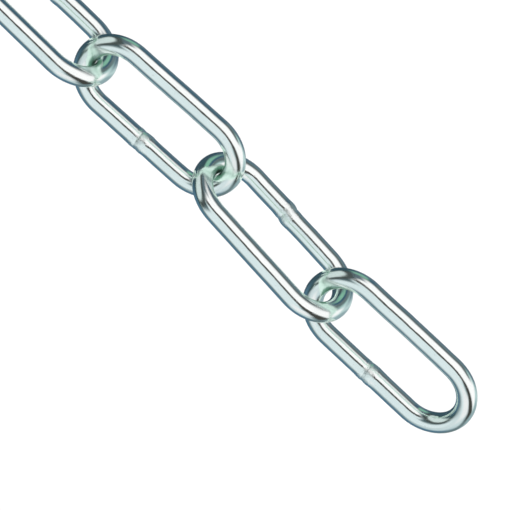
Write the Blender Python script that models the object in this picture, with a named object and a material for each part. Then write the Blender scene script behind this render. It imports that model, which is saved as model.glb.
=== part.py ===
"""One metre of bright zinc-plated, welded long-link steel chain, laid out on the floor.

Every link is one piece of round wire, bent into an oval and welded shut in the middle of
one long side. Neighbouring links pass through each other at their bows and lean 45 degrees
to opposite sides, so each link lies on one of its own long sides. The free end of the chain
lies straight, and the rest follows in one slow S.

The frame: +Z up, the floor at Z = 0, and the origin under the middle of the chain's box.
The straight run with the free end points along +X.
"""

import math

import bpy
import numpy as np
from mathutils import Vector

# ---- driving dimensions, in metres and degrees ----
WIRE = 0.004            # wire diameter
INNER_LENGTH = 0.032    # clear length inside a link, which is also the pitch of a taut chain
OUTER_WIDTH = 0.0192    # over the two long sides of a link
LINK_COUNT = 31         # 31 links make the one metre that the chain is cut to
CONTACT_GAP = 0.0006    # left between the wires of two links that pull on each other
LEAN = 45.0             # how far each link leans over, to the left and to the right in turn

# The straight run at the free end isn't drawn tight: its links lie a little askew.
# Heading of each of its links, and how far each link's bow lies beside the bow before it.
RUN_HEADINGS = (1.4, -3.5, 2.6, 0.1)
RUN_SIDE_STEPS = (0.0, -0.0003, 0.0008, -0.0007)
FIRST_SLACK = 0.0005    # the end link is pushed in by this much

# The rest of the chain turns away and back again: the heading rises to TURN and falls to 0.
TURN = 120.0

# The section has eight flats and the area of the round wire. One flat faces the floor once
# the link leans over, so the link stands on a narrow strip along its side.
SECTION_SIDES = 8
BOW_SEGMENTS = 10

WIRE_RADIUS = WIRE / 2
BOW_RADIUS = (OUTER_WIDTH - WIRE) / 2
HALF_LENGTH = (INNER_LENGTH + WIRE) / 2
HALF_STRAIGHT = HALF_LENGTH - BOW_RADIUS
SECTION_STEP = 2 * math.pi / SECTION_SIDES
CORNER_RADIUS = WIRE_RADIUS * math.sqrt(SECTION_STEP / math.sin(SECTION_STEP))
FLAT_RADIUS = CORNER_RADIUS * math.cos(SECTION_STEP / 2)
CENTRE_HEIGHT = BOW_RADIUS * math.sin(math.radians(LEAN)) + FLAT_RADIUS


def oval(bow_segments, side_segments=1):
    """Points of a link's centre line in its own plane: two half circles and two straight sides."""
    points = []
    for turn in (0.0, math.pi):
        for step in range(bow_segments + 1):
            angle = turn - math.pi / 2 + math.pi * step / bow_segments
            end = HALF_STRAIGHT * (1 if turn == 0.0 else -1)
            points.append((end + BOW_RADIUS * math.cos(angle), BOW_RADIUS * math.sin(angle), 0.0))
        ends = points[-1], (-points[-1][0], points[-1][1], 0.0)
        for step in range(1, side_segments):
            points.append(tuple(a + (b - a) * step / side_segments for a, b in zip(*ends)))
    return points


def turned(heading, lean):
    """Columns are the link's own axes in the world: along it, across it, and square to both."""
    c, s = math.cos(heading), math.sin(heading)
    cl, sl = math.cos(lean), math.sin(lean)
    return np.array([[c, -s * cl, s * sl], [s, c * cl, -c * sl], [0.0, sl, cl]])


def headings():
    """Heading of every link, from the free end on, in radians."""
    values = list(RUN_HEADINGS)
    left = LINK_COUNT - len(values)
    for step in range(1, left + 1):
        values.append(TURN / 2 * (1 - math.cos(2 * math.pi * step / left)))
    return [math.radians(value) for value in values]


def nearest(line, other):
    """Smallest distance between two centre lines, each a row of closely set points."""
    gaps = line[:, None, :] - other[None, :, :]
    return math.sqrt((gaps * gaps).sum(axis=2).min())


def lay_out():
    """Axes and centre of every link. Each link is pushed into the one before it until the wires meet."""
    centre_line = np.array(oval(48, 32))
    laid = []
    for number, heading in enumerate(headings()):
        axes = turned(heading, math.radians(LEAN if number % 2 == 0 else -LEAN))
        if not laid:
            laid.append((axes, np.array([0.0, 0.0, CENTRE_HEIGHT])))
            continue
        last_axes, last_centre = laid[-1]
        last_line = centre_line @ last_axes.T + last_centre
        bow = last_centre - last_axes[:, 0] * HALF_LENGTH
        start = bow - axes[:, 0] * HALF_LENGTH
        if number < len(RUN_SIDE_STEPS):
            start = start + np.array([-axes[1, 0], axes[0, 0], 0.0]) * RUN_SIDE_STEPS[number]
        short, far = 0.0, 2.5 * WIRE
        for _ in range(40):
            middle = (short + far) / 2
            line = centre_line @ axes.T + start + axes[:, 0] * middle
            if nearest(last_line, line) < WIRE + CONTACT_GAP:
                short = middle
            else:
                far = middle
        slack = FIRST_SLACK if number == 1 else 0.0
        laid.append((axes, start + axes[:, 0] * (far + slack)))
    return laid


def zinc_material():
    """Bright zinc plating: a light, slightly cool grey metal."""
    material = bpy.data.materials.new("bright_zinc")
    material.use_nodes = True
    shader = next(node for node in material.node_tree.nodes if node.type == "BSDF_PRINCIPLED")
    shader.inputs["Base Color"].default_value = (0.66, 0.69, 0.69, 1.0)
    shader.inputs["Metallic"].default_value = 1.0
    shader.inputs["Roughness"].default_value = 0.24
    return material


def link_curve():
    """The bent wire of one link, as a closed curve with a round section."""
    curve = bpy.data.curves.new("link_wire", "CURVE")
    curve.dimensions = "3D"
    curve.resolution_u = 1
    curve.bevel_depth = CORNER_RADIUS
    curve.bevel_resolution = SECTION_SIDES // 2 - 2
    curve.use_fill_caps = True
    points = oval(BOW_SEGMENTS)
    spline = curve.splines.new("POLY")
    spline.points.add(len(points) - 1)
    for point, place in zip(spline.points, points):
        point.co = (*place, 1.0)
        point.tilt = SECTION_STEP / 2
    spline.use_cyclic_u = True
    return curve


def attach(child, parent):
    """Parents an object without moving it."""
    bpy.context.view_layer.update()
    child.parent = parent
    child.matrix_parent_inverse = parent.matrix_world.inverted()


def empty_at(name, place, collection):
    empty = bpy.data.objects.new(name, None)
    empty.empty_display_size = WIRE
    empty.location = place
    collection.objects.link(empty)
    return empty


def box_of(objects):
    """Low and high corner of the box around the finished shapes."""
    graph = bpy.context.evaluated_depsgraph_get()
    corners = []
    for item in objects:
        finished = item.evaluated_get(graph)
        mesh = finished.to_mesh()
        corners += [finished.matrix_world @ vertex.co for vertex in mesh.vertices]
        finished.to_mesh_clear()
    places = np.array([tuple(corner) for corner in corners])
    return places.min(axis=0), places.max(axis=0)


def build():
    for item in list(bpy.data.objects):
        bpy.data.objects.remove(item, do_unlink=True)
    collection = bpy.data.collections.new("steel_chain")
    bpy.context.scene.collection.children.link(collection)

    wire = link_curve()
    wire.materials.append(zinc_material())
    base = empty_at("chain_lay", (0.0, 0.0, 0.0), collection)

    links = []
    laid = lay_out()
    for number, (axes, centre) in enumerate(laid):
        link = bpy.data.objects.new(f"link_{number + 1:02d}", wire)
        link.location = centre
        link.rotation_euler = (
            math.asin(axes[2, 1]),
            0.0,
            math.atan2(axes[1, 0], axes[0, 0]),
        )
        collection.objects.link(link)
        if number == 0:
            attach(link, base)
        else:
            # A link swings about the bow of the link before it, so its pivot lies in that wire.
            last_axes, last_centre = laid[number - 1]
            place = last_centre - last_axes[:, 0] * HALF_LENGTH
            pivot = empty_at(f"pivot_{number + 1:02d}", Vector(place), collection)
            attach(pivot, links[-1])
            attach(link, pivot)
        links.append(link)

    bpy.context.view_layer.update()
    low, high = box_of(links)
    base.location = (-(low[0] + high[0]) / 2, -(low[1] + high[1]) / 2, -low[2])
    bpy.context.view_layer.update()


build()
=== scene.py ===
# %% [markdown]
# # A length of bright zinc-plated steel chain
#
# The chain is 31 welded long links of round wire, laid on the floor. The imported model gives
# each link's place. Here every link gets its real round wire, its weld and its plating, and the
# chain gets a studio like the one it was photographed in.

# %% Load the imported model
import math
import random

import bpy
import numpy as np
from mathutils import Matrix, Vector


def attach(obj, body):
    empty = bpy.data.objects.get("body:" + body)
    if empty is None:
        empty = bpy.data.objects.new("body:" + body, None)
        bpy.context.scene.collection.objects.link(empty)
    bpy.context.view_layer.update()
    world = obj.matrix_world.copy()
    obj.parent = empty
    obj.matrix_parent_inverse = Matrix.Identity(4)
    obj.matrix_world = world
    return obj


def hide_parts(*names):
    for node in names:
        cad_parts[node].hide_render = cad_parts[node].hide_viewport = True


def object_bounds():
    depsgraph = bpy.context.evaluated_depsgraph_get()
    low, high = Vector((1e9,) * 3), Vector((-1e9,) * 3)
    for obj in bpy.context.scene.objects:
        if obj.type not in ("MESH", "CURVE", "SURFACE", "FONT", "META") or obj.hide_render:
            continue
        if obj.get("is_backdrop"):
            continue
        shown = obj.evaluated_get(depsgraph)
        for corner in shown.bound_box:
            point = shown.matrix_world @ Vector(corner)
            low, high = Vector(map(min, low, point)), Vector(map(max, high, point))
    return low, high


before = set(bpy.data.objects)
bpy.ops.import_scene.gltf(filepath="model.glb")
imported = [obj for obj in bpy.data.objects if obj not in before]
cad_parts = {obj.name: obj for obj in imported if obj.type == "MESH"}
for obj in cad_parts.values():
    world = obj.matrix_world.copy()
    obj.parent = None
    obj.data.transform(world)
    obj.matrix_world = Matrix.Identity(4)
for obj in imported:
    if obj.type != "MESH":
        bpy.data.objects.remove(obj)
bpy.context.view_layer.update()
LINKS = sorted(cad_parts)
MM = 0.001
print("links:", len(LINKS))

# %% [markdown]
# ## Where each link lies
#
# A link is longest along its run, next across its two long sides, and thinnest square to them.
# The principal directions of its corner points are these three axes, so nothing has to be typed
# in by hand and the fine link always lies exactly where the plain one does.

# %% Read the axes and the centre of every link
WIRE = 4.0 * MM
OUTER_WIDTH = 19.2 * MM
INNER_LENGTH = 32.0 * MM
BOW_RADIUS = (OUTER_WIDTH - WIRE) / 2
HALF_STRAIGHT = (INNER_LENGTH + WIRE) / 2 - BOW_RADIUS


def corner_points(link):
    """The link's corner points, each once."""
    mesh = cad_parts[link].data
    points = np.zeros(len(mesh.vertices) * 3)
    mesh.vertices.foreach_get("co", points)
    return np.unique(points.reshape(-1, 3).round(6), axis=0)


def place_of(link, towards):
    """A link's centre and its axes: along it, across it, and square to both.

    The axis along it points much as towards does, and the one across it points up.
    """
    points = corner_points(link)
    centre = points.mean(axis=0)
    _, directions = np.linalg.eigh(np.cov((points - centre).T))
    along, across = directions[:, 2], directions[:, 1]
    along = along if along @ towards > 0 else -along
    across = across if across[2] > 0 else -across
    return centre, np.column_stack([along, across, np.cross(along, across)])


places = []
towards = np.array([1.0, 0.0, 0.0])
for link in LINKS:
    places.append(place_of(link, towards))
    towards = places[-1][1][:, 0]
print("the free end's centre in mm:", (places[0][0] / MM).round(2))

# %% [markdown]
# ## The wire's path
#
# On a real link the wire is bent round two pins and its ends meet in the middle of a long side.
# The path is two half circles and two straights, and every point on it follows from how far it
# is along the wire. It could be drawn as a curve by hand, point by point. A few sums in a node
# tree give the whole oval instead, and one tree then serves all 31 links, each with its own seed.

# %% Helpers that write sums as nodes
class Sums:
    """Writes sums into a node tree. Each call returns the socket that holds the result."""

    def __init__(self, tree):
        self.tree = tree

    def __call__(self, operation, *values):
        node = self.tree.nodes.new("ShaderNodeMath")
        node.operation = operation
        for socket, value in zip(node.inputs, values):
            self.put(socket, value)
        return node.outputs[0]

    def put(self, socket, value):
        """Links another node's result to a socket, or sets the socket to a plain value."""
        if isinstance(value, bpy.types.NodeSocket):
            self.tree.links.new(value, socket)
        else:
            socket.default_value = value

    def total(self, value, *others):
        for other in others:
            value = self("ADD", value, other)
        return value

    def product(self, value, *others):
        for other in others:
            value = self("MULTIPLY", value, other)
        return value

    def clamp(self, value, low, high):
        return self("MINIMUM", self("MAXIMUM", value, low), high)

    def vector(self, x, y, z):
        node = self.tree.nodes.new("ShaderNodeCombineXYZ")
        for socket, value in zip(node.inputs, (x, y, z)):
            self.put(socket, value)
        return node.outputs[0]

    def bump(self, distance, width):
        """1 where the distance is 0, falling to 0 on both sides in a bell shape."""
        ratio = self("DIVIDE", distance, width)
        return self("EXPONENT", self.product(ratio, ratio, -1.0))


def add(tree, kind, inputs=None, **settings):
    """Adds a node. settings are its properties, and inputs its sockets by name."""
    node = tree.nodes.new(kind)
    for name, value in settings.items():
        setattr(node, name, value)
    for name, value in (inputs or {}).items():
        Sums(tree).put(node.inputs[name], value)
    return node


# %% The inputs of the link tree
LINK_INPUTS = (
    ("Wire", "NodeSocketFloat", WIRE),
    ("Bow Radius", "NodeSocketFloat", BOW_RADIUS),
    ("Front Straight", "NodeSocketFloat", HALF_STRAIGHT),
    ("Back Straight", "NodeSocketFloat", HALF_STRAIGHT),
    ("Weld Length", "NodeSocketFloat", 3.2 * MM),
    ("Weld Swell", "NodeSocketFloat", 0.16 * MM),
    ("Weld Step", "NodeSocketFloat", 0.13 * MM),
    ("Weld Offset", "NodeSocketFloat", 0.0),
    ("Unevenness", "NodeSocketFloat", 0.16 * MM),
    ("Steps", "NodeSocketInt", 256),
    ("Sides", "NodeSocketInt", 40),
    ("Seed", "NodeSocketFloat", 0.0),
    ("Finish", "NodeSocketMaterial", None),
)
link_tree = bpy.data.node_groups.new("welded_link", "GeometryNodeTree")
link_tree.is_modifier = True
link_tree.interface.new_socket("Geometry", in_out="OUTPUT", socket_type="NodeSocketGeometry")
for name, kind, value in LINK_INPUTS:
    socket = link_tree.interface.new_socket(name, in_out="INPUT", socket_type=kind)
    if value is not None:
        socket.default_value = value
given = link_tree.nodes.new("NodeGroupInput").outputs
sums = Sums(link_tree)
print("link tree inputs:", [item[0] for item in LINK_INPUTS])

# %% [markdown]
# The run along the wire starts at the weld, in the middle of the lower side. Steps are set
# closer together there, because the weld is the only place with fine shape. From the run
# follow three straight stretches and the angle turned so far, and from these the two
# coordinates of the path.

# %% From the run along the wire to a place on the oval
CROWDING = 0.55     # 0 spaces the steps evenly, and 1 would pile them up at the weld

index = link_tree.nodes.new("GeometryNodeInputIndex").outputs[0]
share = sums("DIVIDE", index, given["Steps"])
half_turn = sums.product(given["Bow Radius"], math.pi)
side = sums.total(given["Front Straight"], given["Back Straight"])
round_trip = sums.product(sums.total(side, half_turn), 2.0)
crowded = sums("SINE", sums.product(share, 2 * math.pi))
crowded = sums.product(crowded, CROWDING / (2 * math.pi))
run = sums.product(sums("SUBTRACT", share, crowded), round_trip)

at_first_bow = given["Front Straight"]
at_far_side = sums.total(at_first_bow, half_turn)
at_second_bow = sums.total(at_far_side, side)
at_last = sums.total(at_second_bow, half_turn)
first = sums("MINIMUM", run, at_first_bow)
second = sums.clamp(sums("SUBTRACT", run, at_far_side), 0.0, side)
last = sums("MAXIMUM", sums("SUBTRACT", run, at_last), 0.0)
turned = []
for bow_start in (at_first_bow, at_second_bow):
    turn = sums("DIVIDE", sums("SUBTRACT", run, bow_start), given["Bow Radius"])
    turned.append(sums.clamp(turn, 0.0, math.pi))
turned = sums.total(*turned)

bow_reach = sums.product(sums("SINE", turned), given["Bow Radius"])
along = sums.total(sums("SUBTRACT", first, second), last, bow_reach)
across = sums.product(sums("COSINE", turned), given["Bow Radius"], -1.0)
print("wire in one link, in mm:", round((4 * HALF_STRAIGHT + 2 * math.pi * BOW_RADIUS) / MM, 1))

# %% [markdown]
# The two ends of the wire never meet quite true, so the path steps sideways at the weld and
# eases back over a few millimetres. Bending round a pin also leaves the sides a trifle wavy.

# %% The step at the weld and the waviness of the sides
STEP_COMES_IN = 0.35 * MM
STEP_FADES_IN = 4.5 * MM
STEP_ACROSS = 0.8       # how much of the step goes across the link, and how much up from it
STEP_ABOVE = 0.5
WAVE_SCALE = 90.0       # noise scales count features in a metre


def wire_noise(position, shift, scale, detail):
    """Noise from about -0.5 to 0.5. Each link's seed gives its own, and so does each shift."""
    inputs = {
        "Vector": position,
        "W": sums.total(given["Seed"], shift),
        "Scale": scale,
        "Detail": detail,
    }
    node = add(link_tree, "ShaderNodeTexNoise", inputs, noise_dimensions="4D")
    return sums("SUBTRACT", node.outputs["Fac"], 0.5)


def keep(geometry, name, value, kind="FLOAT"):
    """Stores a value at every point, for later steps and for the finish."""
    inputs = {"Geometry": geometry, "Name": name, "Value": value}
    node = add(link_tree, "GeometryNodeStoreNamedAttribute", inputs, data_type=kind, domain="POINT")
    return node.outputs[0]


past_half = sums("GREATER_THAN", share, 0.5)
from_weld = sums("SUBTRACT", run, sums.product(past_half, round_trip))
from_weld = sums("SUBTRACT", from_weld, given["Weld Offset"])
step_side = sums("TANH", sums("DIVIDE", from_weld, STEP_COMES_IN))
step = sums.product(step_side, sums.bump(from_weld, STEP_FADES_IN), given["Weld Step"])
flat_place = sums.vector(along, across, 0.0)
wave = sums.product(wire_noise(flat_place, 0.0, WAVE_SCALE, 1.0), given["Unevenness"])
wave_up = sums.product(wire_noise(flat_place, 31.7, WAVE_SCALE, 1.0), given["Unevenness"])
across = sums.total(across, sums.product(step, STEP_ACROSS), wave)
above = sums.total(sums.product(step, STEP_ABOVE), wave_up)

circle = add(link_tree, "GeometryNodeCurvePrimitiveCircle",
             {"Resolution": given["Steps"], "Radius": 1.0})
path = add(link_tree, "GeometryNodeSetPosition",
           {"Geometry": circle.outputs["Curve"], "Position": sums.vector(along, across, above)})
measured_path = keep(path.outputs[0], "from_weld", from_weld)
print("nodes for the path:", len(link_tree.nodes))

# %% [markdown]
# ## The wire and its weld
#
# The wire is a circle swept along the path. The weld is an upset: both ends were pushed
# together hot, so a low collar stands up on either side of the seam, and the burr was trimmed
# roughly. The collars come from the sweep's scale, and the roughness from noise that pushes
# the finished surface in and out near the seam only.

# %% Sweep the wire and raise two collars at the weld
COLLAR_PLACE = 0.62         # this and the widths in halves of the weld's length
FRONT_WIDTH = 0.55
BACK_WIDTH = 0.5
BACK_HEIGHT = 0.75          # the collar behind the seam is lower than the one in front
COLLAR_HEIGHT = 0.6         # in swells of the weld
THICKNESS_SCALE = 140.0
THICKNESS_CHANGE = 0.35     # in parts of the unevenness

half_weld = sums.product(given["Weld Length"], 0.5)
collar_at = sums.product(half_weld, COLLAR_PLACE)
front = sums("SUBTRACT", from_weld, collar_at)
behind = sums.total(from_weld, collar_at)
front = sums.bump(front, sums.product(half_weld, FRONT_WIDTH))
behind = sums.bump(behind, sums.product(half_weld, BACK_WIDTH))
collars = sums.total(front, sums.product(behind, BACK_HEIGHT))
collars = sums.product(collars, given["Weld Swell"], COLLAR_HEIGHT)
thickness = wire_noise(flat_place, 7.3, THICKNESS_SCALE, 1.0)
thickness = sums.product(thickness, given["Unevenness"], THICKNESS_CHANGE)
radius = sums.total(sums.product(given["Wire"], 0.5), collars, thickness)

profile = add(link_tree, "GeometryNodeCurvePrimitiveCircle",
              {"Resolution": given["Sides"], "Radius": 1.0})
on_round = link_tree.nodes.new("GeometryNodeInputPosition").outputs[0]
measured_round = keep(profile.outputs["Curve"], "round", on_round, "FLOAT_VECTOR")
swept = add(link_tree, "GeometryNodeCurveToMesh",
            {"Curve": measured_path, "Profile Curve": measured_round, "Scale": radius})
print("nodes with the sweep:", len(link_tree.nodes))

# %% Roughen the seam and finish the link
# Each layer of noise has a shift, a scale, a detail and a height.
LUMPS = ((11.0, 480.0, 3.0, 2.2), (3.0, 1300.0, 2.0, 0.5))      # heights in swells
DENTS = ((19.0, 210.0, 2.0, 0.30), (23.0, 620.0, 1.0, 0.10))    # heights in unevenness
SEAM_REACH = 1.1            # in halves of the weld's length


def layers(position, noises):
    """Several layers of noise, each with its own height, in one sum."""
    return sums.total(*[
        sums.product(wire_noise(position, shift, scale, detail), height)
        for shift, scale, detail, height in noises
    ])


run_here = add(link_tree, "GeometryNodeInputNamedAttribute", {"Name": "from_weld"},
               data_type="FLOAT").outputs[0]
place = link_tree.nodes.new("GeometryNodeInputPosition").outputs[0]
normal = link_tree.nodes.new("GeometryNodeInputNormal").outputs[0]
near_weld = sums.bump(run_here, sums.product(half_weld, SEAM_REACH))
lumps = sums.product(layers(place, LUMPS), near_weld, given["Weld Swell"])
dents = sums.product(layers(place, DENTS), given["Unevenness"])
push = add(link_tree, "ShaderNodeVectorMath", {"Scale": sums.total(lumps, dents)},
           operation="SCALE")
link_tree.links.new(normal, push.inputs[0])
shaped = add(link_tree, "GeometryNodeSetPosition",
             {"Geometry": swept.outputs[0], "Offset": push.outputs[0]})
smooth = add(link_tree, "GeometryNodeSetShadeSmooth",
             {"Geometry": keep(shaped.outputs[0], "weld", near_weld), "Shade Smooth": True})
real = add(link_tree, "GeometryNodeRealizeInstances", {"Geometry": smooth.outputs[0]})
finish = add(link_tree, "GeometryNodeSetMaterial",
             {"Geometry": real.outputs[0], "Material": given["Finish"]})
result = link_tree.nodes.new("NodeGroupOutput")
link_tree.links.new(finish.outputs[0], result.inputs[0])
print("nodes in the link tree:", len(link_tree.nodes))

# %% [markdown]
# ## Bright zinc plating
#
# Zinc plating on drawn wire is a bright metal with a faint cool tint. It isn't a mirror: drawing
# leaves fine lines along the wire, the bath leaves soft clouds and small pits, and the weld is
# duller than the rest. A single roughness would look like chrome. So the finish is made in
# layers, and the two that can be used on any drawn and plated wire are node groups.

# %% Helpers for shader trees
def shader_group(name, inputs, outputs):
    """An empty shader node group with named sockets, its input sockets and its output node."""
    group = bpy.data.node_groups.new(name, "ShaderNodeTree")
    for title, kind, value in inputs:
        socket = group.interface.new_socket(title, in_out="INPUT", socket_type=kind)
        if value is not None:
            socket.default_value = value
    for title, kind in outputs:
        group.interface.new_socket(title, in_out="OUTPUT", socket_type=kind)
    return group, group.nodes.new("NodeGroupInput").outputs, group.nodes.new("NodeGroupOutput")


def noise(tree, vector, scale, detail, roughness):
    """Noise from 0 to 1 at a place."""
    inputs = {"Vector": vector, "Scale": scale, "Detail": detail, "Roughness": roughness}
    return add(tree, "ShaderNodeTexNoise", inputs).outputs["Fac"]


def spread(tree, value, low, high):
    """Maps low..high to 0..1 with soft ends. low may also be the larger of the two."""
    inputs = {"Value": value, "From Min": low, "From Max": high}
    node = add(tree, "ShaderNodeMapRange", inputs, interpolation_type="SMOOTHSTEP")
    return node.outputs["Result"]


def blend(tree, share, first, second):
    """Mixes two colours. Each is a node's result, or red, green and blue."""
    node = tree.nodes.new("ShaderNodeMix")
    node.data_type = "RGBA"
    Sums(tree).put(node.inputs[0], share)
    for index, colour in ((6, first), (7, second)):
        colour = (*colour, 1.0) if isinstance(colour, tuple) else colour
        Sums(tree).put(node.inputs[index], colour)
    return node.outputs[2]


# %% The lines that drawing leaves along the wire
FLOAT, VECTOR = "NodeSocketFloat", "NodeSocketVector"
drawn, given, result = shader_group(
    "drawn_lines",
    (
        ("Round", VECTOR, None),
        ("Along", FLOAT, 0.0),
        ("Fineness", FLOAT, 9.0),
        ("Stretch", FLOAT, 60.0),
    ),
    (("Lines", FLOAT),),
)
sums = Sums(drawn)
split = add(drawn, "ShaderNodeSeparateXYZ", {"Vector": given["Round"]})
far = sums.product(sums("ABSOLUTE", given["Along"]), given["Stretch"])
place = sums.vector(split.outputs[0], split.outputs[1], far)
lines = noise(drawn, place, given["Fineness"], detail=3.0, roughness=0.7)
drawn.links.new(lines, result.inputs["Lines"])
print("nodes in the drawn lines:", len(drawn.nodes))

# %% The clouds and pits of the plating bath
bath, given, result = shader_group(
    "plating_bath",
    (("Place", VECTOR, None), ("Cloud Scale", FLOAT, 160.0), ("Pit Scale", FLOAT, 1500.0)),
    (("Clouds", FLOAT), ("Pits", FLOAT)),
)
clouds = noise(bath, given["Place"], given["Cloud Scale"], detail=3.0, roughness=0.6)
pits = noise(bath, given["Place"], given["Pit Scale"], detail=2.0, roughness=0.6)
bath.links.new(spread(bath, clouds, 0.3, 0.7), result.inputs["Clouds"])
bath.links.new(spread(bath, pits, 0.66, 0.8), result.inputs["Pits"])
print("nodes in the plating bath:", len(bath.nodes))

# %% [markdown]
# In the material, the groups' masks change three things a little: the tint, the roughness and
# the relief. The weld's edge is ragged, so its mask is broken up by noise. One more touch is
# for the joints: metal seen in other metal is rougher, which stands in for the many fine
# scratches where the links rub, and keeps the joints from looking like a hall of mirrors.

# %% The plated metal and its masks
RAGGED_SCALE = 900.0
RAGGED = 0.9

zinc = bpy.data.materials.new("bright_zinc_plating")
zinc.use_nodes = True
tree = zinc.node_tree
sums = Sums(tree)
metal = next(node for node in tree.nodes if node.type == "BSDF_PRINCIPLED")
metal.inputs["Metallic"].default_value = 1.0
place = tree.nodes.new("ShaderNodeTexCoord").outputs["Object"]
around = add(tree, "ShaderNodeAttribute", attribute_name="round").outputs["Vector"]
run_here = add(tree, "ShaderNodeAttribute", attribute_name="from_weld").outputs["Fac"]
at_weld = add(tree, "ShaderNodeAttribute", attribute_name="weld").outputs["Fac"]
drawing = add(tree, "ShaderNodeGroup", {"Round": around, "Along": run_here}, node_tree=drawn)
plating = add(tree, "ShaderNodeGroup", {"Place": place}, node_tree=bath)
lines = drawing.outputs["Lines"]
clouds, pits = plating.outputs["Clouds"], plating.outputs["Pits"]
ragged = noise(tree, place, RAGGED_SCALE, detail=2.0, roughness=0.6)
ragged = sums.product(sums("SUBTRACT", ragged, 0.5), RAGGED)
bare_weld = spread(tree, sums.total(at_weld, ragged), 0.50, 0.72)
in_metal = tree.nodes.new("ShaderNodeLightPath").outputs["Is Glossy Ray"]

# %% Tint, roughness and relief of the plating
TINT = (0.81, 0.92, 0.88)
TINT_CLOUD = (0.75, 0.87, 0.83)
TINT_PIT = (0.45, 0.50, 0.50)
TINT_WELD = (0.87, 1.0, 0.95)
ROUGH_PLATING = 0.11
ROUGH_CLOUD = 0.05
ROUGH_LINE = 0.08
ROUGH_WELD = 0.17
ROUGH_IN_METAL = 0.17
HIGH_LINE = 0.010           # reliefs in millimetres
DEEP_PIT = 0.012
HIGH_GRAIN = 0.11
GRAIN_SCALE = 1700.0

colour = blend(tree, sums.product(clouds, 0.5), TINT, TINT_CLOUD)
colour = blend(tree, sums.product(pits, 0.35), colour, TINT_PIT)
colour = blend(tree, sums.product(bare_weld, 0.8), colour, TINT_WELD)
tree.links.new(colour, metal.inputs["Base Color"])

rough = sums.total(
    sums.product(clouds, ROUGH_CLOUD),
    ROUGH_PLATING,
    sums.product(sums("SUBTRACT", lines, 0.5), ROUGH_LINE),
    sums.product(bare_weld, ROUGH_WELD),
    sums.product(in_metal, ROUGH_IN_METAL),
)
tree.links.new(rough, metal.inputs["Roughness"])

weld_grain = noise(tree, place, GRAIN_SCALE, detail=3.0, roughness=0.6)
height = sums.total(
    sums.product(lines, HIGH_LINE),
    sums.product(pits, -DEEP_PIT),
    sums.product(weld_grain, at_weld, HIGH_GRAIN),
)
relief = add(tree, "ShaderNodeBump", {"Height": height, "Distance": MM, "Strength": 0.8})
tree.links.new(relief.outputs["Normal"], metal.inputs["Normal"])
print("nodes in the plating:", len(tree.nodes))

# %% [markdown]
# ## From the tree to 31 links
#
# Each link wears the tree as a modifier for a moment, with its own seed, and the result is
# turned into a plain mesh and moved to the link's place. In a chain under pull the wires touch,
# while the plain links keep a small gap for the collision model. Here both bows of a joint are
# drawn in a little, which closes most of that gap. The first joint keeps its gap, because the
# free end is pushed in a little.

# %% Make one link at a time
PULL_IN = 0.28 * MM
FIRST_SEED = 4.0
SEED_STEP = 13.7
draw = random.Random(5)
SHOWN_WELDS = [0.0, -1.2 * MM, 0.3 * MM]
WELD_OFFSETS = SHOWN_WELDS + [draw.uniform(-1.0, 1.0) * MM for _ in LINKS[len(SHOWN_WELDS):]]
IDENTIFIERS = {
    item.name: item.identifier
    for item in link_tree.interface.items_tree if item.in_out == "INPUT"
}


def make_link(name, number, centre, axes):
    """One welded link as a plain mesh, in its place."""
    last = len(LINKS) - 1
    values = {
        "Weld Offset": WELD_OFFSETS[number],
        "Front Straight": HALF_STRAIGHT - (PULL_IN if number > 1 else 0.0),
        "Back Straight": HALF_STRAIGHT - (PULL_IN if 0 < number < last else 0.0),
        "Seed": FIRST_SEED + SEED_STEP * number,
        "Finish": zinc,
    }
    carrier = bpy.data.objects.new(name + "_tree", bpy.data.meshes.new(name + "_tree"))
    bpy.context.scene.collection.objects.link(carrier)
    modifier = carrier.modifiers.new("welded_link", "NODES")
    modifier.node_group = link_tree
    for title, value in values.items():
        modifier[IDENTIFIERS[title]] = value
    bpy.context.view_layer.update()
    graph = bpy.context.evaluated_depsgraph_get()
    mesh = bpy.data.meshes.new_from_object(carrier.evaluated_get(graph))
    carrier.modifiers.remove(modifier)
    bpy.data.objects.remove(carrier)
    turn = Matrix([list(row) for row in axes]).to_4x4()
    mesh.transform(Matrix.Translation(Vector(centre)) @ turn)
    mesh.name = name
    piece = bpy.data.objects.new(name, mesh)
    bpy.context.scene.collection.objects.link(piece)
    return piece


faces = 0
for number, (link, (centre, axes)) in enumerate(zip(LINKS, places)):
    piece = make_link(link.replace("link", "wire_link"), number, centre, axes)
    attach(piece, link)
    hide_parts(link)
    faces += len(piece.data.polygons)
print("links:", len(LINKS), "four-sided faces in all:", faces)

# %% [markdown]
# ## The floor
#
# Small goods like this are often laid on a lit white sheet of acrylic, so that no shadow shows,
# and the photograph has none. The floor is such a sheet. It glows, and it lets a part of the
# view through, so a link that swings below it at a joint's limit can still be seen. Mirror-like
# rays pass through it, because in the photograph the metal sees dark surroundings at its rims.
#
# The plain links stand on one flat of their eight-sided wire. The round wire reaches a hair
# lower than this flat, so the sheet lies that much below the origin.

# %% A lit white sheet under the chain
FLOOR_HALF = 12.0
SEEN_THROUGH = 0.78
SHEET_GLOW = 0.80
SHEET_COLOUR = (0.86, 0.86, 0.86, 1.0)
FLAT_STEP = 2 * math.pi / 8
FLAT_SHARE = math.sqrt(FLAT_STEP / math.sin(FLAT_STEP)) * math.cos(FLAT_STEP / 2)
FLOOR_LEVEL = -(1.0 - FLAT_SHARE) * WIRE / 2

floor_mesh = bpy.data.meshes.new("floor")
corners = [(x * FLOOR_HALF, y * FLOOR_HALF, FLOOR_LEVEL)
           for x, y in ((-1, -1), (1, -1), (1, 1), (-1, 1))]
floor_mesh.from_pydata(corners, [], [(0, 1, 2, 3)])
floor = bpy.data.objects.new("floor", floor_mesh)
bpy.context.scene.collection.objects.link(floor)
floor.visible_glossy = False

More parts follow.
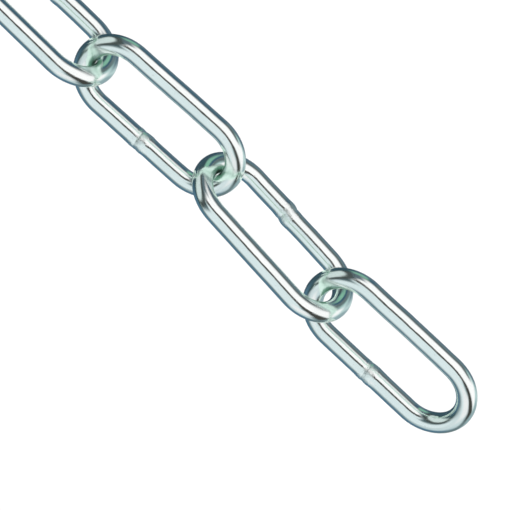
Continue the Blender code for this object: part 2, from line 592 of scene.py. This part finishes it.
acrylic = bpy.data.materials.new("lit_white_acrylic")
acrylic.use_nodes = True
tree = acrylic.node_tree
sheet = next(node for node in tree.nodes if node.type == "BSDF_PRINCIPLED")
sheet.inputs["Base Color"].default_value = SHEET_COLOUR
sheet.inputs["Roughness"].default_value = 1.0
sheet.inputs["Specular IOR Level"].default_value = 0.0
sheet.inputs["Emission Color"].default_value = (1.0, 1.0, 1.0, 1.0)
sheet.inputs["Emission Strength"].default_value = SHEET_GLOW
through = add(tree, "ShaderNodeMixShader", {"Fac": SEEN_THROUGH})
clear = tree.nodes.new("ShaderNodeBsdfTransparent")
tree.links.new(sheet.outputs["BSDF"], through.inputs[1])
tree.links.new(clear.outputs["BSDF"], through.inputs[2])
cover = next(node for node in tree.nodes if node.type == "OUTPUT_MATERIAL")
tree.links.new(through.outputs["Shader"], cover.inputs["Surface"])
floor_mesh.materials.append(acrylic)
floor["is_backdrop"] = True
print("the sheet lies below the origin by, in mm:", round(-FLOOR_LEVEL / MM, 3))

# %% [markdown]
# ## The studio
#
# The look of bright metal is the look of what it reflects. Across each wire of the photograph
# runs the same row of bands: a slate or navy band at the upper edge, a white one, a thin dark
# line along the crest, a wide pale green one, and a dark blue edge. They are the dim lower part
# of a wall, a white screen above it, the dark gap between two screens with the camera in it, a
# paler screen on the near side, and the dark room below that. Lamps and cards could be built
# for this. Directions are simpler: the world has one brightness for each direction that a
# reflection can point in, and the floor gets an even light of its own.
#
# A direction has a height above or below the horizon, and an azimuth, which is 0 where the free
# end points and 90 on the far side. X is positive off the free end and Y on the far side.

# %% Angles of a direction
world = bpy.data.worlds.new("studio")
bpy.context.scene.world = world
world.use_nodes = True
tree = world.node_tree
tree.nodes.clear()
sums = Sums(tree)
direction = tree.nodes.new("ShaderNodeTexCoord").outputs["Generated"]
x, y, z = add(tree, "ShaderNodeSeparateXYZ", {"Vector": direction}).outputs
level = sums("SUBTRACT", 1.0, sums.product(z, z))
level = sums("SQRT", sums("MAXIMUM", level, 1e-6))
level_x = sums("DIVIDE", x, level)      # the cosine of the azimuth, and its sine
level_y = sums("DIVIDE", y, level)
height = sums("DEGREES", sums("ARCSINE", z))
print("nodes for the angles:", len(tree.nodes))

# %% The two screens overhead, and the dark gap between them with the camera in it
WHITE = (1.22, 1.09, 1.13)
PALE_GREEN = (0.85, 0.88, 0.93)
GAP = (0.060, 0.055, 0.050)
GAP_DRIFT = -0.27           # the gap drifts to the near side off the free end
GAP_HALF = 0.15             # half its width straight overhead
GAP_WIDENS = 0.08           # and what is added to that at the horizon
GAP_EDGE = 0.03


def between(value, low, high, soft):
    """1 between low and high, 0 outside, with soft ends."""
    rise = spread(tree, sums("SUBTRACT", value, low), -soft, soft)
    fall = spread(tree, sums("SUBTRACT", value, high), -soft, soft)
    return sums.product(rise, sums("SUBTRACT", 1.0, fall))


screens = blend(tree, spread(tree, y, -0.02, 0.02), PALE_GREEN, WHITE)
gap_centre = sums.product(sums("MAXIMUM", x, 0.0), GAP_DRIFT)
gap_half = sums("SUBTRACT", 1.0, sums("MAXIMUM", z, 0.0))
gap_half = sums.total(sums.product(gap_half, GAP_WIDENS), GAP_HALF)
gap_side = sums("SUBTRACT", y, gap_centre)
gap = between(gap_side, sums.product(gap_half, -1.0), gap_half, GAP_EDGE)
gap = sums.product(gap, spread(tree, x, -0.65, -0.45))
print("nodes with the screens:", len(tree.nodes))

# %% [markdown]
# The straight sides show only a narrow slice of the surroundings. The bows turn through all of
# them, and so do the joints, where the photograph has greens, teals and whites. Each of these is
# a card with soft edges, and a later card covers an earlier one. Behind the chain stands a pale
# round card with a dark rim, which gives the bows their eye of light.

# %% Cards that stand round the chain, lower down
SLATE = (0.105, 0.125, 0.135)
GREEN = (0.25, 0.50, 0.38)
NAVY = (0.055, 0.115, 0.175)
TEAL = (0.42, 0.62, 0.59)
DIM_BLUE = (0.125, 0.165, 0.195)
PALE_BLUE = (0.70, 0.77, 0.82)
WARM_WHITE = (1.02, 0.94, 0.98)
PALE_TEAL = (0.62, 0.74, 0.76)
MIDDLE_TEAL = (0.34, 0.43, 0.47)

# All angles in degrees: the card's azimuth and half its width, its lower and upper edge, and
# how soft its sides and its edges are.
CARDS = (
    (SLATE, 88.0, 30.0, -3.0, 30.0, 9.0, 10.0),
    (GREEN, 117.0, 10.0, -24.0, 12.0, 9.0, 7.0),
    (NAVY, 97.0, 3.0, -30.0, 14.0, 6.0, 7.0),
    (TEAL, 55.0, 11.0, -60.0, -2.0, 9.0, 7.0),
    (DIM_BLUE, 138.0, 17.0, 4.0, 47.0, 9.0, 7.0),
    (WHITE, 76.0, 40.0, 21.0, 120.0, 12.0, 12.0),
    (WHITE, 112.0, 34.0, 47.0, 120.0, 12.0, 7.0),
    (PALE_GREEN, -78.0, 36.0, -4.0, 120.0, 9.0, 14.0),
    (PALE_BLUE, -60.0, 20.0, -26.0, 0.0, 9.0, 7.0),
    (WARM_WHITE, -54.0, 20.0, 0.0, 34.0, 9.0, 7.0),
)
CARDS_OFF_THE_END = (
    (PALE_TEAL, 28.0, 34.0, -75.0, 0.0, 9.0, 7.0),
    (MIDDLE_TEAL, 6.0, 22.0, -100.0, -24.0, 9.0, 7.0),
    (WHITE, 24.0, 24.0, -14.0, 120.0, 9.0, 7.0),
)


def card(seen, colour, azimuth, half, low, high, side_soft, edge_soft):
    """Lays a soft-edged card over what is seen."""
    turn = math.radians(azimuth)
    towards = sums.total(sums.product(x, math.cos(turn)), sums.product(y, math.sin(turn)))
    towards = sums("DIVIDE", towards, level)
    sides = [math.cos(math.radians(max(half + way * side_soft, 0.0))) for way in (1, -1)]
    share = sums.product(spread(tree, towards, *sides), between(height, low, high, edge_soft))
    return blend(tree, share, seen, colour)


print("cards:", len(CARDS) + len(CARDS_OFF_THE_END))

# %% Lay the room, the screens and the cards over each other
ROOM = (0.17, 0.220, 0.240)
ROOM_BACK = (0.040, 0.080, 0.095)
SCREENS_FROM = (48.0, 62.0)
ROUND_CARD = (0.74, 0.78, 0.79)
ROUND_RIM = (0.075, 0.085, 0.085)
ROUND_TOWARDS = (-0.985, -0.17)     # X and Y of the direction to its middle
ROUND_CARD_REACH = 37.0
ROUND_RIM_REACH = 52.0
ROUND_EDGE = 4.0

seen = blend(tree, spread(tree, level_x, -0.50, -0.82), ROOM, ROOM_BACK)
seen = blend(tree, spread(tree, height, *SCREENS_FROM), seen, screens)
for row in CARDS:
    seen = card(seen, *row)

off_back = [sums.product(axis, part) for axis, part in zip((x, y), ROUND_TOWARDS)]
off_back = sums.total(*off_back)
off_back = sums("DEGREES", sums("ARCCOSINE", off_back))
for reach, colour in ((ROUND_RIM_REACH, ROUND_RIM), (ROUND_CARD_REACH, ROUND_CARD)):
    inside = spread(tree, off_back, reach + ROUND_EDGE, reach - ROUND_EDGE)
    seen = blend(tree, inside, seen, colour)
low_at_back = sums.product(spread(tree, off_back, 62.0, 50.0), spread(tree, height, 4.0, -12.0))
seen = blend(tree, low_at_back, seen, ROOM_BACK)
for row in CARDS_OFF_THE_END:
    seen = card(seen, *row)
print("nodes with the cards:", len(tree.nodes))

# %% The dark blue that the lower edge of every wire shows
UNDERSIDE = (0.120, 0.180, 0.235)
UNDERSIDE_NEAR = (0.095, 0.185, 0.270)
UNDERSIDE_BACK = (0.045, 0.085, 0.115)

under = blend(tree, spread(tree, level_x, -0.25, -0.65), UNDERSIDE, UNDERSIDE_BACK)
under = blend(tree, spread(tree, level_y, -0.3, -0.8), under, UNDERSIDE_NEAR)
not_off_the_end = spread(tree, level_x, 0.85, 0.45)
below = sums.product(not_off_the_end, spread(tree, height, -8.0, -34.0))
seen = blend(tree, below, seen, under)
in_gap = sums.product(gap, spread(tree, height, -28.0, -12.0))
seen_in_metal = blend(tree, in_gap, seen, GAP)
print("nodes with the underside:", len(tree.nodes))

# %% [markdown]
# Three kinds of rays look at this world. The camera sees plain white, as in the photograph. The
# floor gets one even light. Only mirror-like rays see the screens and the cards. Deep in a
# joint the light goes to and fro between two wires, and there the lit sheet shines in from
# below, although the mirror-like rays pass through it. So rays that have met metal twice find a
# pale glow there instead of the dark, and those that have met it more often a deep green.

# %% What the camera, the metal and the floor each see
CAMERA_WHITE = (1.0, 1.0, 1.0)
FLOOR_LIGHT = (0.5, 0.5, 0.5)
GLOW = (1.10, 1.13, 1.10)
GLOW_FAR = (0.52, 0.54, 0.52)
DEEP = (0.20, 0.36, 0.27)

rays = tree.nodes.new("ShaderNodeLightPath").outputs
met_twice = sums("GREATER_THAN", rays["Ray Depth"], 2.5)
met_thrice = sums("GREATER_THAN", rays["Ray Depth"], 3.5)
glow = blend(tree, spread(tree, level_y, 0.6, 0.9), GLOW, GLOW_FAR)
glow = blend(tree, met_thrice, glow, DEEP)
from_sheet = sums.product(met_twice, spread(tree, height, 40.0, 8.0))
seen_in_metal = blend(tree, from_sheet, seen_in_metal, glow)
light = blend(tree, rays["Is Glossy Ray"], FLOOR_LIGHT, seen_in_metal)
light = blend(tree, rays["Is Camera Ray"], light, CAMERA_WHITE)
background = add(tree, "ShaderNodeBackground", {"Color": light, "Strength": 1.0})
output = tree.nodes.new("ShaderNodeOutputWorld")
tree.links.new(background.outputs[0], output.inputs["Surface"])
bpy.context.scene.view_settings.view_transform = "Standard"
print("nodes in the studio:", len(tree.nodes))

# %% [markdown]
# ## The camera
#
# The photograph looks almost straight down, from far away, with the chain's run going from the
# upper left to the lower right. The camera leans back a little towards the near side.

# %% Look down on the free end
LENS = 250.0
SENSOR = 36.0
VIEW_WIDTH = 96.05 * MM
LEAN_BACK = math.radians(3.75)
RUN_BELOW_LEVEL = math.radians(44.28)
FREE_END_OFF_CENTRE = Vector((30.74, 4.78, 0.0)) * MM

back = Vector((0.0, -math.sin(LEAN_BACK), math.cos(LEAN_BACK)))
far_side = Vector((0.0, math.cos(LEAN_BACK), math.sin(LEAN_BACK)))
chain_run = Vector((1.0, 0.0, 0.0))
right = chain_run * math.cos(RUN_BELOW_LEVEL) + far_side * math.sin(RUN_BELOW_LEVEL)
up = far_side * math.cos(RUN_BELOW_LEVEL) - chain_run * math.sin(RUN_BELOW_LEVEL)
target = Vector(places[0][0]) - FREE_END_OFF_CENTRE
distance = VIEW_WIDTH * LENS / SENSOR

camera = bpy.data.objects.new("camera", bpy.data.cameras.new("camera"))
bpy.context.scene.collection.objects.link(camera)
camera.data.lens = LENS
camera.data.sensor_width = SENSOR
turn = Matrix((right, up, back)).transposed().to_4x4()
camera.matrix_world = Matrix.Translation(target + back * distance) @ turn
bpy.context.scene.camera = camera

# %% Where the first links fall in the picture
IMAGE = 510
for link, (centre, _) in list(zip(LINKS, places))[:4]:
    offset = Vector(centre) - camera.location
    scale = IMAGE * LENS / SENSOR / -offset.dot(back)
    across_picture = IMAGE / 2 + offset.dot(right) * scale
    down_picture = IMAGE / 2 - offset.dot(up) * scale
    print(link, "in the picture at", round(across_picture, 1), round(down_picture, 1))

# %% Measure the box of the finished links
SEEN_BOX = [list(corner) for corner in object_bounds()]
seen_size = [round((high - low) / MM, 1) for low, high in zip(*SEEN_BOX)]
print("box of the finished links in mm:", seen_size)
